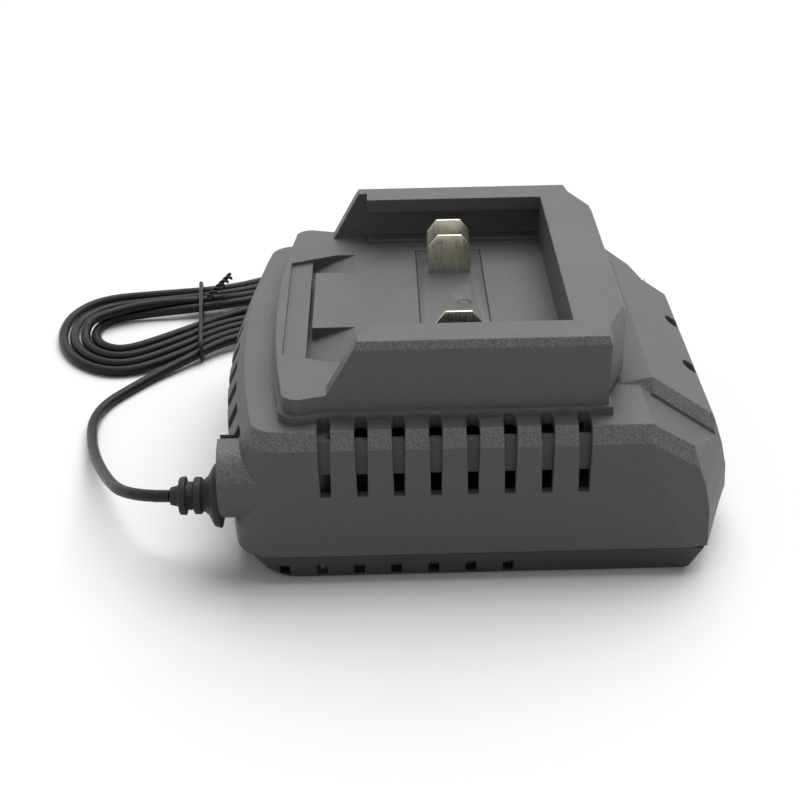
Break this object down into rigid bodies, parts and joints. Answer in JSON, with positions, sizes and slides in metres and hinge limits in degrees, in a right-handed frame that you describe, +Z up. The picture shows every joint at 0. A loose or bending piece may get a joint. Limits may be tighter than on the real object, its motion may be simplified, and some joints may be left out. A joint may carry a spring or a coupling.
{
  "type": "power tool battery charger",
  "caption": "Desktop battery charger with an open slide-in dock, vented sides, sloped light panel and a hanked mains lead.",
  "frame": {"origin": "on the table, under the middle of the case", "axes": "+X to the status light end, -X to the cord end, -Y to the pictured long side, +Z up"},
  "size_m": [0.1777, 0.1601, 0.0566],
  "materials": {
    "case_plastic": "fine spark texture",
    "base_plastic": "fine spark texture",
    "insert_plastic": "satin",
    "nickel": "satin nickel plate",
    "board": "solder mask",
    "ferrite": "matt",
    "winding_tape": "polyester tape",
    "capacitor_sleeve": "shrink sleeve",
    "aluminium": "as rolled",
    "package": "moulded",
    "green_lens": "diffuse lens",
    "red_lens": "diffuse lens",
    "cord_jacket": "satin",
    "lead_red": "extruded",
    "steel": "zinc plate",
    "boot_rubber": "matt",
    "tie": "coated wire"
  },
  "bodies": {
    "root": {"upper_housing": "case_plastic", "lower_housing": "base_plastic", "terminal_block": "insert_plastic", "positive_blade": "nickel", "signal_blade": "nickel", "negative_blade": "nickel", "circuit_board": "board", "transformer_core": "ferrite", "transformer_bobbin": "winding_tape", "input_capacitor": "capacitor_sleeve", "output_capacitors": "capacitor_sleeve", "heat_sink": "aluminium", "power_transistor": "package", "bridge_rectifier": "package", "fuse": "package", "choke": "winding_tape", "light_board": "board", "green_light": "green_lens", "red_light": "red_lens", "mains_leads": "cord_jacket", "battery_leads": "lead_red", "case_screws": "steel", "board_screws": "steel", "strain_relief": "boot_rubber", "mains_cord": "cord_jacket", "cord_hank": "cord_jacket", "plug_lead": "cord_jacket", "twist_tie": "tie", "plug_body": "cord_jacket", "plug_pins": "nickel"}
  },
  "joints": []
}
